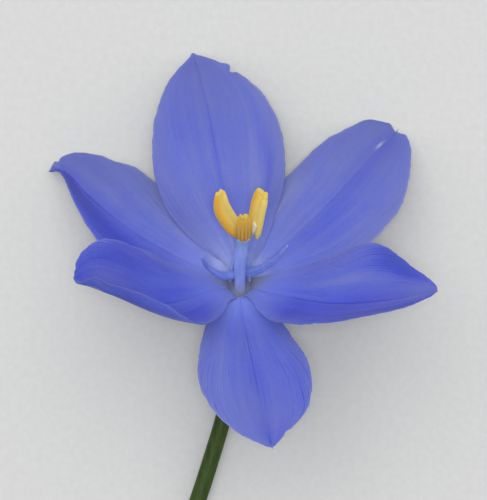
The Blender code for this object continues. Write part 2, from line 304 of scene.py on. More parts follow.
TEPALS = {
    "tepal_top": Tepal(
        0, True,
        ((-0.4, 4.6, 0.7), (-2.1, 12, -0.4), (-3.35, 18.6, -3.5), (-4.8, 23.8, -6.95)),
        left_fold=(0, -12.5, -4, 4, 8),
        right_fold=(0, -10.5, 0, 6, 8),
        left_width=(1, 0.98, 1.06, 1.04, 0.96, 0.9, 0.86, 0.83, 0.63),
        right_width=(1, 0.99, 1.01, 1.07, 1.01, 1, 0.96, 0.87, 0.88),
        tone=0.6,
        veined=0.5,
        shades=(
            Shade(-0.45, 0.72, 0.3, 0.18, -0.2), Shade(0, 0.72, 0.02, 0.35, -0.35),
            Shade(0.75, 0.45, 0.1, 0.25, -0.3), Shade(0.5, 0.5, 0.15, 0.3, 0.12),
            Shade(-0.95, 0.5, 0.2, 0.3, -0.25), Shade(-0.25, 0.45, 0.2, 0.35, 0.14),
            Shade(-0.3, 0.97, 0.4, 0.08, -0.2), Shade(0, 0.04, 1.5, 0.07, 1.2),
            Shade(0, 0.16, 0.6, 0.06, 0.35), Shade(-0.7, 0.13, 0.4, 0.07, 0.35),
        ),
        throat=(),
        pulls=(
            Pull(1, 0.905, (0.1, 0.15, 0), 0.8), Pull(1, 0.88, (-0.36, -0.28, 0), 0.6),
            Pull(0, 1, (-0.06, 0.28, -0.08), 0.45),
        ),
    ),
    "tepal_upper_right": Tepal(
        60, False,
        ((3.2, 3.2, 0.4), (8.7, 8.4, -0.6), (12.8, 12.8, -3.8), (16.4, 16.4, -6.75)),
        left_fold=(32, 22, 14, 10, 8),
        right_fold=(4, -6, 4, 6, 8),
        left_width=(1, 1, 1.05, 1.01, 0.9, 0.9, 0.96, 1.1, 1.95),
        right_width=(1, 1.12, 1.26, 1.34, 1.25, 1.15, 1.07, 1.03, 1),
        spine=(0.3, 0.65, 0.3),
        tone=0.66,
        shades=(
            Shade(0.14, 0.55, 0.13, 0.4, -0.24), Shade(0.45, 0.6, 0.25, 0.3, -0.08),
            Shade(0.85, 0.18, 0.4, 0.1, -0.6), Shade(-0.5, 0.6, 0.4, 0.4, 0.08),
            Shade(-0.9, 0.36, 0.3, 0.15, 0.4), Shade(0, 0.6, 0.015, 0.5, -0.3),
            Shade(-0.9, 0.75, 0.2, 0.2, -0.15), Shade(0, 0.06, 1.5, 0.07, 0.8),
            Shade(-0.03, 0.9, 0.02, 0.05, 0.5), Shade(0.3, 0.92, 0.5, 0.1, -0.4),
        ),
        glints=(Shade(-0.07, 0.865, 0.03, 0.022, 0.4),),
        pulls=(Pull(0, 1, (-0.42, -0.46, 0.12), 1.4),),
        throat=(),
    ),
    "tepal_upper_left": Tepal(
        -60, False,
        ((-4, 2.2, 0.4), (-10.2, 5.4, -0.7), (-15.3, 9.2, -3.8), (-17.75, 11.9, -5.4),
         (-19.4, 12, -5.9)),
        left_fold=(4, -4, 18, 40, 34),
        right_fold=(32, 22, 12, 8, 6),
        left_width=(1, 1, 0.97, 0.9, 0.83, 0.73, 0.62, 0.45, 0.3),
        right_width=(1, 1.05, 1.07, 1.05, 1.02, 1.03, 1.18, 1.29, 1.4),
        spine=(-0.45, -0.1, 0.25),
        tone=0.64,
        shades=(
            Shade(-0.55, 0.7, 0.42, 0.5, -0.95), Shade(0.5, 0.85, 0.4, 0.15, 0.1),
            Shade(0.85, 0.33, 0.35, 0.22, 0.65), Shade(0, 0.8, 0.025, 0.2, -0.7),
            Shade(-0.9, 0.8, 0.35, 0.3, -0.35), Shade(0, 0.93, 1.2, 0.1, -0.3),
            Shade(0, 0.06, 1.5, 0.07, 0.9), Shade(-0.9, 0.92, 0.3, 0.1, -0.6),
            Shade(-0.15, 0.8, 0.3, 0.15, -0.25), Shade(0.9, 0.48, 0.15, 0.12, 0.35),
        ),
        throat=(),
        pulls=(
            Pull(0.35, 0.72, (0, 0.1, 0.3), 2.4), Pull(0.3, 0.97, (-0.1, 0.1, 0.4), 0.9),
            Pull(1, 0.978, (0.12, -0.16, 0), 0.4), Pull(1, 0.99, (-0.06, 0.08, 0), 0.3),
        ),
    ),
    "tepal_right": Tepal(
        120, True,
        ((3.2, -0.4, 2.4), (9, -1.35, 6.4), (14.6, -0.9, 10.4), (18.95, 0.05, 12.8)),
        left_fold=(34, 26, 20, 20, 12, 10),
        right_fold=(13, 2, 10, 15, 18, 10),
        right_cup=(0, 5, 15, 8, 3, 0),
        left_width=(1, 0.7, 0.87, 1.01, 0.86, 0.68),
        right_width=(0.95, 0.85, 0.82, 0.71, 0.69, 0.65),
        tone=0.34,
        veined=1.2,
        shades=(
            Shade(-0.85, 0.75, 0.35, 0.2, -0.7), Shade(-0.4, 0.52, 0.3, 0.25, 0.5),
            Shade(0.55, 0.35, 0.4, 0.3, -0.35), Shade(-0.9, 0.2, 0.2, 0.12, -0.15),
            Shade(0.9, 0.08, 0.3, 0.1, -0.35), Shade(-0.1, 0.95, 0.5, 0.1, 0.12),
            Shade(0, 0.5, 0.02, 0.35, -0.5), Shade(-0.1, 0.25, 0.04, 0.15, 0.3),
            Shade(0.88, 0.78, 0.35, 0.25, -0.95), Shade(-0.1, 0.65, 0.3, 0.25, -0.28),
            Shade(0.3, 0.75, 0.3, 0.3, -0.22),
        ),
        pulls=(Pull(0, 1, (-0.15, 0, -0.05), 0.9),),
        throat=(Shade(0, 0, 2, 0.05, 1), Shade(-0.9, 0.05, 0.8, 0.055, 1.2)),
    ),
    "tepal_left": Tepal(
        -120, True,
        ((-3.3, -0.2, 2.4), (-7.42, -1.42, 6.4), (-11.81, -0.04, 10.8), (-15.44, 0.91, 14.4)),
        left_fold=(10, 8, 12, 16, 17, 15, 16, 22, 25),
        right_fold=(20, 20, 25, 25, 25, 10),
        left_curl=(0, 0, 0, 5, 22, 88, 135, 148, 150),
        left_width=(1.4, 0.97, 0.84, 0.83, 0.84, 0.84, 0.88, 1.02, 1.3),
        right_width=(1, 0.73, 0.82, 0.92, 0.86, 0.86, 0.96, 1.07, 1.2),
        tone=0.32,
        veined=1.1,
        shades=(
            Shade(-0.8, 0.78, 0.3, 0.35, -0.5), Shade(0, 1, 1.5, 0.12, -0.4),
            Shade(0.75, 0.7, 0.35, 0.2, -0.42), Shade(-0.5, 0.4, 0.35, 0.15, -0.3),
            Shade(0, 0.5, 0.03, 0.2, -0.3), Shade(-0.12, 0.3, 0.1, 0.12, 0.3),
            Shade(-0.6, 0.7, 0.2, 0.25, -0.35), Shade(-0.8, 0.08, 0.3, 0.1, -0.3),
        ),
        pulls=(
            Pull(1, 0.96, (-0.1, 0, 0), 1.2), Pull(0.6, 1, (-0.22, 0, 0), 1.2),
            Pull(-1, 0.96, (0, 0.5, 0.1), 1.4), Pull(1, 0.985, (-0.15, 0, 0), 0.5),
            Pull(0, 1, (0.16, 0, 0), 0.5),
        ),
        throat=(Shade(0, 0, 2, 0.05, 1), Shade(0.9, 0.05, 0.8, 0.055, 1.2)),
    ),
    "tepal_bottom": Tepal(
        180, False,
        ((0.3, -2.9, 3.2), (1.3, -7.4, 7.7), (2.3, -12.1, 11.5), (3.05, -14.85, 13.1)),
        left_fold=(5, 14, 8, 6, 6),
        right_fold=(5, 14, 10, 8, 8),
        left_width=(0.75, 0.88, 0.91, 0.86, 0.9, 0.96, 1, 1.08, 0.75),
        right_width=(0.75, 1, 1.06, 0.95, 0.98, 1.01, 1.01, 0.96, 0.72),
        spine=(0.35, -0.55, 0.2),
        tone=0.57,
        veined=1.5,
        shades=(
            Shade(0.75, 0.6, 0.3, 0.4, 0.22), Shade(0, 0.42, 0.009, 0.3, -0.9),
            Shade(-0.08, 0.72, 0.1, 0.2, -0.2), Shade(-0.65, 0.75, 0.3, 0.2, -0.12),
            Shade(0, 0.14, 1, 0.06, -0.15), Shade(-0.95, 0.72, 0.25, 0.3, -0.38),
            Shade(0, 0.97, 0.9, 0.1, -0.4), Shade(0.92, 0.65, 0.2, 0.25, -0.3),
            Shade(0, 0.4, 0.12, 0.12, 0.12),
        ),
        pulls=(Pull(-1, 0.95, (-0.15, 0.1, 0), 0.6),),
    ),
}


def add_flat_tepal():
    """A flat sheet whose columns and rows lie where the tepal's will, with a map of them.

    The map runs from the left margin to the right and from claw to tip.
    """
    columns, rows = 2 * len(WING), len(TEPAL_OUTLINE) - 1
    bpy.ops.mesh.primitive_grid_add(
        x_subdivisions=columns, y_subdivisions=rows, size=2, enter_editmode=True)
    piece = bpy.context.object
    across = columns + 1
    for j in range(across):
        side = j - len(WING)
        wanted = math.copysign(WING[abs(side) - 1], side) if side else 0.0
        pick(piece, {j + across * r for r in range(rows + 1)})
        slide((wanted - (2 * j / columns - 1), 0, 0))
    for r, (share, _) in enumerate(TEPAL_OUTLINE):
        pick(piece, set(range(across * r, across * (r + 1))))
        slide((0, share - (2 * r / rows - 1), 0))
    leave()
    chart = piece.data.uv_layers.active or piece.data.uv_layers.new(name="UVMap")
    for loop in piece.data.loops:
        place = piece.data.vertices[loop.vertex_index].co
        chart.data[loop.index].uv = ((place.x + 1) / 2, place.y)
    return piece


def fold_wing(piece, row, side, width, fold, cup, curl):
    """Widens one half of a row, then folds it up at the midrib and bends it column by column."""
    middle = row * (2 * len(WING) + 1) + len(WING)
    share = TEPAL_OUTLINE[row][0]
    pick(piece, {middle + side * k for k in range(1, len(WING) + 1)})
    swell((width, 1, 1), (0, share, 0))
    pivot = Vector((0, share, 0))
    turned = 0.0
    inner = 0.0
    for k, outer in enumerate(WING):
        if k == 0:
            bend = fold
        else:
            bend = cup * (outer - inner)
            if k > HEM:
                bend += curl / (len(WING) - 1 - HEM)
        bend = math.radians(bend)
        turned += bend
        if abs(bend) > LEAST_BEND:
            pick(piece, {middle + side * n for n in range(k + 1, len(WING) + 1)})
            turn(Quaternion((0, 1, 0), -side * bend), pivot)
        reach = width * (outer - inner)
        pivot = pivot + Vector((side * math.cos(turned), 0, math.sin(turned))) * reach
        inner = outer


def shape_tepal(tepal):
    """A tepal's skin, shaped row by row from claw to tip."""
    claw_radius = INNER_CLAW_RADIUS if tepal.inner else OUTER_CLAW_RADIUS
    half_width = INNER_HALF_WIDTH if tepal.inner else OUTER_HALF_WIDTH
    claw = [around(tepal.azimuth, claw_radius, height) for height in CLAW_HEIGHTS]
    at = by_length(claw + [Vector(point) for point in tepal.midrib])
    rightward = around(tepal.azimuth, 1, 0).cross(AXIS)
    piece = add_flat_tepal()
    only(piece)
    edit()
    across = 2 * len(WING) + 1
    for row, (share, width) in enumerate(TEPAL_OUTLINE):
        for side, widths, *bends in (
            (-1, tepal.left_width, tepal.left_fold, tepal.left_cup, tepal.left_curl),
            (1, tepal.right_width, tepal.right_fold, tepal.right_cup, tepal.right_curl),
        ):
            fold_wing(piece, row, side, half_width * width * through(widths, share),
                      *(through(values, share) for values in bends))
        pick(piece, {row * across + len(WING)})
        slide((0, 0, -MIDRIB_DEPTH * min(1.0, 4 * width)))  # shallower at the narrow ends
        along = heading(at, share)
        sideways = square_to(rightward, along)
        pick(piece, set(range(row * across, (row + 1) * across)))
        turn(standing(sideways, along, sideways.cross(along)), (0, share, 0))
        slide(at(share) - Vector((0, share, 0)))
    leave()
    return piece


def map_of(piece):
    """Across, -1 to 1, and along, 0 to 1, for each vertex of a tepal."""
    mesh = piece.data
    corners = np.zeros(len(mesh.loops), int)
    mesh.loops.foreach_get("vertex_index", corners)
    places = np.zeros(len(mesh.loops) * 2, np.float32)
    mesh.uv_layers.active.data.foreach_get("uv", places)
    chart = np.zeros((len(mesh.vertices), 2))
    chart[corners] = places.reshape(-1, 2)
    return chart[:, 0] * 2 - 1, chart[:, 1]


def paint(piece, name, values):
    layer = piece.data.attributes.new(name, "FLOAT", "POINT")
    layer.data.foreach_set("value", np.broadcast_to(values, len(piece.data.vertices)).astype("f"))


def weigh(piece, name, values):
    """A vertex group with these weights."""
    group = piece.vertex_groups.new(name=name)
    for n, value in enumerate(values):
        if value > 0:
            group.add([n], float(value), "REPLACE")


def clouds(name, size):
    made = bpy.data.textures.new(name, "CLOUDS")
    made.noise_scale = size
    made.noise_depth = 1
    made.cloud_type = "COLOR"
    return made


def roughen_margin(piece):
    """Makes the margin waver, in long waves and in fine nicks."""
    across, along = map_of(piece)
    edge = np.clip((np.abs(across) - MARGIN_FROM) / (1 - MARGIN_FROM), 0, 1) ** 2
    weigh(piece, "margin", edge * np.clip(along / SMOOTH_CLAW, 0, 1))
    for name, size, strength in MARGIN_WAVES:
        finish_with(piece, name, "DISPLACE", texture=clouds(name, size), texture_coords="LOCAL",
                    direction="RGB_TO_XYZ", strength=strength, mid_level=0.5,
                    vertex_group="margin")


def pull_about(piece, pulls):
    for pull in pulls:
        across, along = map_of(piece)
        nearest = int(np.argmin((across - pull.across) ** 2 + (along - pull.along) ** 2))
        only(piece)
        edit()
        pick(piece, {nearest})
        bpy.ops.transform.translate(
            value=pull.step, use_proportional_edit=True, use_proportional_connected=True,
            proportional_edit_falloff="SMOOTH", proportional_size=pull.reach)
        leave()


def patches(piece, shades):
    """What soft patches add up to at each vertex of a tepal."""
    across, along = map_of(piece)
    total = np.zeros(len(across))
    for shade in shades:
        reach = ((across - shade.across) / shade.wide) ** 2
        reach += ((along - shade.along) / shade.long) ** 2
        total += shade.tone * np.exp(-reach)
    return total


def add_spine(tip, direction, finish):
    """The fine point that a tepal ends in, whiter towards its end. It starts inside the tip."""
    reach = Vector(direction)
    bend = SPINE_BEND * reach.length
    spine = draw_out([tip - reach * 0.3, tip + reach * 0.5 + bend, tip + reach],
                     SPINE_GIRTHS, facing=RIGHTWARD + REARWARD, rings=8, sides=8)
    coat(spine, finish)
    whole = reach.length_squared
    paint(spine, "white", np.clip(
        [(vertex.co - tip).dot(reach) / whole for vertex in spine.data.vertices], 0, 1))
    return spine


def add_tepals(face, reverse, spine_finish):
    """Each tepal as one piece with its spine. Its own number keeps its streaks from matching
    its neighbours', and white holds its painted glints."""
    for number, (name, tepal) in enumerate(TEPALS.items()):
        piece = shape_tepal(tepal)
        coat(piece, face, reverse)
        finish_with(piece, "Smooth", "SUBSURF", levels=3, render_levels=3)
        roughen_margin(piece)
        pull_about(piece, tepal.pulls)
        across, along = map_of(piece)
        tip = piece.data.vertices[int(np.argmin(across**2 + (along - 1) ** 2))].co.copy()
        weigh(piece, "body", 1 - MARGIN_THINNING * np.abs(across))
        finish_with(piece, "Wall", "SOLIDIFY", thickness=TEPAL_THICKNESS, offset=-0.5,
                    vertex_group="body", material_offset=1, material_offset_rim=0)
        # The tone: the tepal's own paler and deeper blue, together with painted light and painted
        # shade.
        paint(piece, "tone", tepal.tone + patches(piece, tepal.shades))
        paint(piece, "throat", np.minimum(patches(piece, tepal.throat), 1.0))
        paint(piece, "number", number)
        paint(piece, "veined", tepal.veined)
        # White on the tepal is a painted highlight, the glints; on the spine it is the spine's
        # own whitening.
        paint(piece, "white", patches(piece, tepal.glints))
        if tepal.spine:
            piece = join([piece, add_spine(tip, tepal.spine, spine_finish)])
        only(piece)
        bpy.ops.object.shade_smooth()
        settle(piece, name.replace("tepal", "petal"), [name])


# ---- Drawn-out pieces ----

def draw_out(route, girths, *, facing, rings=16, sides=16, flat=1.0, section=None):
    """A closed solid drawn out along the smooth curve through route, ring by ring.

    girths holds evenly spaced half widths from start to end. A section is flattened towards
    facing, and section gives the share of the half width at each of its corners.
    """
    at = by_length(route)
    place = at(0)
    bpy.ops.mesh.primitive_circle_add(
        vertices=sides, radius=girths[0], fill_type="NGON", location=place, enter_editmode=True)
    piece = bpy.context.object
    if section:
        for corner, share in enumerate(section):
            pick(piece, {corner})
            swell((share, share, share), place)
        pick(piece, set(range(sides)))
    swell((1, flat, 1), place)
    along = heading(at, 0)
    up = square_to(facing, along)
    turn(standing(up.cross(along), up, along), place)
    girth = girths[0]
    for k in range(1, rings + 1):
        share = k / rings
        step = at(share) - place
        bpy.ops.mesh.extrude_region_move(TRANSFORM_OT_translate={"value": step})
        place = at(share)
        new_along = heading(at, share)
        turn(along.rotation_difference(new_along), place)
        along = new_along
        ratio = through(girths, share) / girth
        girth *= ratio
        swell((ratio, ratio, ratio), place)
    bpy.ops.mesh.select_all(action="SELECT")
    bpy.ops.mesh.normals_make_consistent(inside=False)
    leave()
    bpy.ops.object.transform_apply(location=True, rotation=True, scale=True)
    return piece


def join(pieces):
    bpy.ops.object.select_all(action="DESELECT")
    for piece in pieces:
        piece.select_set(True)
    bpy.context.view_layer.objects.active = pieces[0]
    bpy.ops.object.join()
    return pieces[0]


def grow_together(piece, smoothing):
    """Melts overlapping solids into one skin."""
    finish_with(piece, "Melt", "REMESH", mode="VOXEL", voxel_size=GRAIN)
    finish_with(piece, "Ease", "SMOOTH", factor=0.5, iterations=smoothing)
    only(piece)
    bpy.ops.object.shade_smooth()


# ---- Stamens ----

class Stamen(NamedTuple):
    """A filament and its anther, each by points from foot to top, in millimetres."""

    azimuth: float
    filament: tuple
    girths: tuple  # of the filament
    anther: tuple
    roll: float  # turns the anther about its own length, in degrees
    breadth: float = 1.0
    pinch: float = 1.0  # how narrow the anther's top is drawn in
    cleft: float = 0.0  # how dark the groove on the anther's inner face is
    worn: int = 0  # how far the anther's top is smoothed down


STAMENS = {
    "front": Stamen(
        180, ((0, 1.2, 3), (0.03, 2.8, 4.7), (0.3, 4.8, 6.5), (0.33, 5.2, 7.2)),
        (0.52, 0.54, 0.56, 0.68, 0.68),
        ((0.35, 5, 6.8), (0.38, 6.1, 9.3), (0.4, 7.2, 11.8)),
        roll=6, breadth=0.97, pinch=0.66, worn=14,
    ),
    "right": Stamen(
        60, ((0.68, 2.2, 1.6), (0.55, 3.7, 3.3), (0.9, 4.9, 5), (1.5, 6.45, 6.75)),
        (0.52, 0.55, 0.45, 0.38, 0.32),
        ((1.35, 5.5, 4.9), (1.57, 6.7, 6.2), (1.87, 8.18, 7.7), (2.27, 9.55, 9.2)),
        roll=8, breadth=1.14, cleft=1, worn=8,
    ),
    "left": Stamen(
        -60, ((-0.65, 2.2, 1.6), (-0.15, 3.7, 3.3), (-0.1, 4.8, 4.6), (-0.4, 5.9, 5.2)),
        (0.52, 0.55, 0.45, 0.36, 0.28),
        ((-0.04, 5.57, 5.1), (-0.97, 6.64, 6.3), (-1.72, 7.98, 7.9), (-1.87, 9.6, 9.5)),
        roll=-25, pinch=0.8, worn=40,
    ),
}
FILAMENT_BASE_RADIUS = 0.95
FILAMENT_FLATNESS = 0.5
ANTHER_LENGTH = 6.2
ANTHER_STEPS = 24
SAC_GIRTHS = (0.2, 0.32, 0.34, 0.34, 0.34, 0.34, 0.34, 0.32, 0.2)
# Where each pollen sac stands: across at its middle and at its top, towards the inner face, and
# how far it starts from the foot and ends from the top.
SACS = (
    (0.54, 0.46, 0.04, 0.04, 0.15), (0.19, 0.26, -0.14, 0.06, 0.2),
    (-0.19, -0.26, -0.14, 0, 0), (-0.56, -0.46, 0.1, 0.02, 0.15),
)
SAC_GATHER = 0.95  # at the foot
RIDGE_SPACING = 0.36
# The cushion on the inner face leaves a groove beside the last sac.
CUSHION_ACROSS = 0.2
CUSHION_GIRTHS = (0.3, 0.48, 0.51, 0.5, 0.38)
GROOVE_ACROSS = -0.32
GRAIN = 0.05  # of the skin that overlapping solids melt into
# The anther's top is drawn in from PINCH_TOP up, easing off over PINCH_REACH of its length, and
# worn smooth from WORN_FROM, fully so at WORN_WHOLLY.
PINCH_TOP = 0.96
PINCH_REACH = 0.42
WORN_FROM = 0.88
WORN_WHOLLY = 0.94


def add_straight_anther():
    """An anther standing on the origin. Its four pollen sacs make ridges on its outer face; on
    its inner face they grow into one broad cushion."""
    sacs = []
    for across, top_across, inward, low, high in SACS:
        route = [Vector((across * SAC_GATHER, inward, low)),
                 Vector((across, inward, ANTHER_LENGTH * 0.3)),
                 Vector((across, inward, ANTHER_LENGTH * 0.7)),
                 Vector((top_across, inward, ANTHER_LENGTH - high))]
        sacs.append(draw_out(route, SAC_GIRTHS, facing=Vector((0, 1, 0)), rings=32))
    cushion = [Vector((CUSHION_ACROSS * 0.5, 0.04, 0.25)),
               Vector((CUSHION_ACROSS, 0.12, ANTHER_LENGTH / 2)),
               Vector((CUSHION_ACROSS, 0.06, ANTHER_LENGTH - 0.12))]
    sacs.append(draw_out(cushion, CUSHION_GIRTHS, facing=Vector((0, 1, 0)), flat=0.55))
    anther = join(sacs)
    grow_together(anther, smoothing=4)
    places = np.array([vertex.co for vertex in anther.data.vertices])
    paint(anther, "side", places[:, 0])
    paint(anther, "height", places[:, 2] / ANTHER_LENGTH)
    return anther


def bend_along(piece, at, facing, steps, breadth, pinch):
    """Stands a straight piece on a curve's start and bends it step by step to follow it.

    Its length becomes the curve's. Breadth widens it, and pinch draws its top in.
    """
    heights = [vertex.co.z for vertex in piece.data.vertices]
    tallest = max(heights)
    along = heading(at, 0)
    up = square_to(facing, along)
    only(piece)
    edit()
    bpy.ops.mesh.select_all(action="SELECT")
    stretch = at.length / tallest
    swell((breadth, 1, stretch), (0, 0, 0))
    if pinch != 1:
        pick(piece, {n for n, height in enumerate(heights) if height > PINCH_TOP * tallest})
        bpy.ops.transform.resize(
            value=(pinch, 1, 1), center_override=(0, 0, at.length), use_proportional_edit=True,
            proportional_edit_falloff="SMOOTH", proportional_size=at.length * PINCH_REACH)
        bpy.ops.mesh.select_all(action="SELECT")
    turn(standing(up.cross(along), up, along), (0, 0, 0))
    slide(at(0))
    for k in range(1, steps):
        share = k / steps
        pick(piece, {n for n, height in enumerate(heights) if height > share * tallest})
        new_along = heading(at, share)
        turn(along.rotation_difference(new_along), at(share))
        along = new_along
    leave()


def copy_of(piece):
    only(piece)
    bpy.ops.object.duplicate(linked=False)
    return bpy.context.object


def add_stamens(finishes):
    """The three stamens. Their anthers are copies of one, each bent along its own curve."""
    straight = add_straight_anther()
    for name, stamen in STAMENS.items():
        outward = around(stamen.azimuth, 1, 0)
        at = by_length([Vector(point) for point in stamen.anther])
        path = [around(stamen.azimuth, FILAMENT_BASE_RADIUS, 0.1),
                *(Vector(point) for point in stamen.filament)]
        filament = draw_out(path, stamen.girths, facing=outward, rings=32, flat=FILAMENT_FLATNESS)
        paint(filament, "height", [vertex.co.dot(AXIS) for vertex in filament.data.vertices])
        coat(filament, finishes["filament"])
        smooth(filament, 50)
        settle(filament, f"{name}_filament", [f"filament_{name}"])
        anther = copy_of(straight)
        facing = Quaternion(heading(at, 0), math.radians(stamen.roll)) @ -outward
        bend_along(anther, at, facing, ANTHER_STEPS, stamen.breadth, stamen.pinch)
        if stamen.worn:
            heights = np.zeros(len(anther.data.vertices), np.float32)
            anther.data.attributes["height"].data.foreach_get("value", heights)
            worn = (heights - WORN_FROM) / (WORN_WHOLLY - WORN_FROM)
            weigh(anther, "top", np.clip(worn, 0, 1))
            finish_with(anther, "Wear", "SMOOTH", factor=0.5, iterations=stamen.worn,
                        vertex_group="top")
        paint(anther, "cleft", stamen.cleft)
        coat(anther, finishes["front_anther" if name == "front" else "anther"])
        settle(anther, f"{name}_anther", [f"anther_{name}"])
    bpy.data.objects.remove(straight)


# ---- Style ----

STYLE_HEIGHTS = (0.05, 1.5, 2.9)
STYLE_RADIUS = 0.42
STYLE_ARM_ROOT = 2.3
STYLE_ARMS = (
    ((0, 3, 2), (0.1, 5, 3.1), (0.1, 6.8, 4.7)),
    ((-1.85, 1.4, 3), (-3.15, 2.25, 5), (-3.7, 3.2, 6.9)),
    ((2, 2, 4), (3.6, 3.1, 6.6), (4.6, 4.3, 8.8)),
)
STYLE_ARM_GIRTHS = (0.48, 0.52, 0.46, 0.38, 0.3, 0.15)
# A style arm's section: a channel runs along its upper side.
STYLE_ARM_SECTION = (1, 1, 0.97, 0.82, 0.6, 0.82, 0.97, 1, 1, 1, 1, 1, 1, 1, 1, 1)


def add_style(finish):
    column = [AXIS * height for height in STYLE_HEIGHTS]
    parts = [draw_out(column, (STYLE_RADIUS, STYLE_RADIUS), facing=RIGHTWARD)]
    for points in STYLE_ARMS:
        path = [AXIS * STYLE_ARM_ROOT, *(Vector(point) for point in points)]
        parts.append(draw_out(path, STYLE_ARM_GIRTHS, facing=AXIS, section=STYLE_ARM_SECTION,
                              rings=24, flat=0.8))
    style = join(parts)
    grow_together(style, smoothing=2)
    coat(style, finish)
    settle(style, "style_with_arms", ["style"])


# ---- Ovary and stem ----

OVARY_GIRTHS = (0.95, 1.4, 1.75, 1.8, 1.7, 1.85, 1.95)
OVARY_LOBES = 3
OVARY_LOBE_SHARE = 0.05
OVARY_SIDES = 48
# The throat cushion's steps inwards from the ovary's rim, and how far each one rises.
CUP_STEPS = ((0.1, 0.05), (0.14, 0.1), (0.25, 0.4), (0.35, 0.3), (0.5, 0.25))
STEM_RADIUS = 0.85
STEM_GIRTHS = (0.85, 0.82, STEM_RADIUS, STEM_RADIUS, STEM_RADIUS)
STEM_SIDES = 36
STEM_RIB_SHARE = 0.05
STEM_BEND_POINTS = 6
STEM_CUT_BEYOND = -30  # along y, where only the cut end's flat face lies
RIND = 0.07
PITH_EDGE, PITH_SINK = 0.1, Vector((0.03, 0.08, 0))
STEM_TURN = math.radians(15)
# Where the middle of the stem lies on the surface, from its bend to its cut end.
STEM_ROUTE = (
    (-1.75, -13.4), (-3, -17.6), (-4.35, -21.8), (-5.9, -26.2), (-7.6, -30.8), (-9.4, -35.4),
)


def lobed(sides, lobes, depth):
    """A section whose half width rises and falls by depth as often as it has lobes."""
    return [1 - depth * (1 - math.cos(math.tau * lobes * k / sides)) / 2 for k in range(sides)]


def add_ovary(green, flesh):
    """The ovary, drawn up from the stem, with a low cushion inside the claws."""
    ends = [-AXIS * OVARY_LENGTH, AXIS * 0.15]
    ovary = draw_out(ends, OVARY_GIRTHS, facing=RIGHTWARD, rings=20, sides=OVARY_SIDES,
                     section=lobed(OVARY_SIDES, OVARY_LOBES, OVARY_LOBE_SHARE))
    coat(ovary, green, flesh)
    only(ovary)
    edit()
    pick_faces(ovary, lambda face: len(face.verts) == OVARY_SIDES and face.normal.dot(AXIS) > 0)
    for inset, lift in CUP_STEPS:
        bpy.ops.mesh.inset(thickness=inset)
        slide(AXIS * lift)
        ovary.active_material_index = 1
        bpy.ops.object.material_slot_assign()
    leave()
    smooth(ovary, 50)
    settle(ovary, "ovary_and_cup", ["ovary"])


def stem_route():
    """The stem leaves the ovary along the axis, bends level and lies on the surface."""
    place = -AXIS * (OVARY_LENGTH - 0.1)
    route = [place]
    lying = STEM_RADIUS + FLOOR_LEVEL
    slope = math.pi / 2 - AXIS_TILT
    step = (place.z - lying) / (1 - math.cos(slope)) * slope / STEM_BEND_POINTS
    for k in range(STEM_BEND_POINTS):
        share = (k + 0.5) / STEM_BEND_POINTS
        steep, bearing = slope * (1 - share), STEM_TURN * share
        place = place - step * Vector((
            math.sin(bearing) * math.cos(steep), math.cos(bearing) * math.cos(steep),
            math.sin(steep),
        ))
        route.append(place)
    return route + [Vector((x, y, lying)) for x, y in STEM_ROUTE]


def add_stem(green, pith):
    """The ribbed stem, with a pith sunk a little into its cut end."""
    route = stem_route()
    stem = draw_out(route, STEM_GIRTHS, facing=RIGHTWARD, rings=64, sides=STEM_SIDES,
                    section=lobed(STEM_SIDES, STEM_SIDES // 3, STEM_RIB_SHARE))
    coat(stem, green, pith)
    only(stem)
    edit()
    pick_faces(stem, lambda face: len(face.verts) == STEM_SIDES
               and face.calc_center_median().y < STEM_CUT_BEYOND)
    bpy.ops.mesh.inset(thickness=RIND)
    stem.active_material_index = 1
    bpy.ops.object.material_slot_assign()
    bpy.ops.mesh.inset(thickness=PITH_EDGE)
    slide(PITH_SINK)
    leave()
    smooth(stem, 40)
    settle(stem, "cut_stem", ["stem"])


# ---- Materials ----

